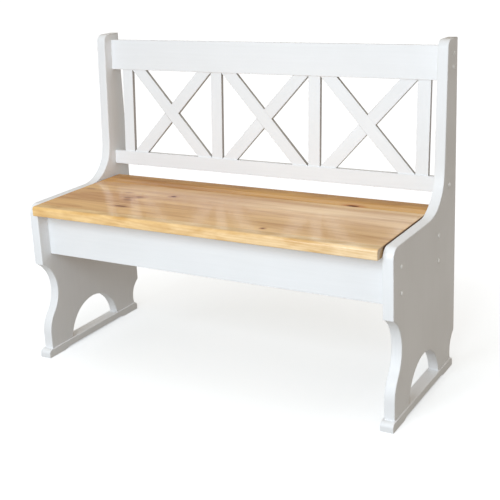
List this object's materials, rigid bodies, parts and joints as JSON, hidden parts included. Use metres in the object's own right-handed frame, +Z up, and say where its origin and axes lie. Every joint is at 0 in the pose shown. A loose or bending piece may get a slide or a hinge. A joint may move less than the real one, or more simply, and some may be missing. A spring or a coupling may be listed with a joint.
{
  "type": "storage bench",
  "caption": "Wooden storage bench: scrolled side panels on feet, a low back of diagonal braces, and a hinged seat that lifts over a shallow box.",
  "frame": {"origin": "on the floor, under the middle of the bench's box", "axes": "+X to the bench's right as seen from its front, +Y to its back, +Z up"},
  "size_m": [1.111, 0.465, 0.9],
  "materials": {
    "white_paint": "satin paint",
    "seat_wood": "clear satin lacquer",
    "bare_wood": "bare pine",
    "cap_plastic": "moulded",
    "steel": "zinc plated"
  },
  "bodies": {
    "frame": {"left_side_panel": "white_paint", "right_side_panel": "white_paint", "left_foot": "white_paint", "right_foot": "white_paint", "front_apron": "white_paint", "rear_apron": "white_paint", "lower_back_rail": "white_paint", "top_back_rail": "white_paint", "back_slat_1": "white_paint", "back_slat_2": "white_paint", "back_slat_3": "white_paint", "back_slat_4": "white_paint", "brace_1_rising": "white_paint", "brace_1_falling": "white_paint", "brace_2_rising": "white_paint", "brace_2_falling": "white_paint", "brace_3_rising": "white_paint", "brace_3_falling": "white_paint", "front_cleat": "bare_wood", "rear_cleat": "bare_wood", "storage_bottom": "bare_wood", "slat_dowels": "bare_wood", "brace_dowels": "bare_wood", "left_screw_caps": "cap_plastic", "right_screw_caps": "cap_plastic", "left_frame_screws": "steel", "right_frame_screws": "steel", "left_foot_screws": "steel", "right_foot_screws": "steel", "cleat_screws": "steel", "bottom_screws": "steel", "hinge_apron_screws": "steel", "hinge_1_fixed_leaf": "steel", "hinge_2_fixed_leaf": "steel", "hinge_3_fixed_leaf": "steel", "hinge_1_pin": "steel", "hinge_2_pin": "steel", "hinge_3_pin": "steel"},
    "lid": {"seat_front_strip": "seat_wood", "seat_board_1": "seat_wood", "seat_board_2": "seat_wood", "seat_board_3": "seat_wood", "seat_board_4": "seat_wood", "lid_batten_1": "bare_wood", "lid_batten_2": "bare_wood", "lid_batten_3": "bare_wood", "batten_screws": "steel", "hinge_lid_screws": "steel", "hinge_1_moving_leaf": "steel", "hinge_2_moving_leaf": "steel", "hinge_3_moving_leaf": "steel"}
  },
  "joints": [
    {"name": "lid_hinge", "type": "hinge", "parent": "frame", "child": "lid", "pos_m": [0, 0.1139, 0.4346], "axis": [-1, 0, 0], "range_deg": [0, 97]}
  ]
}
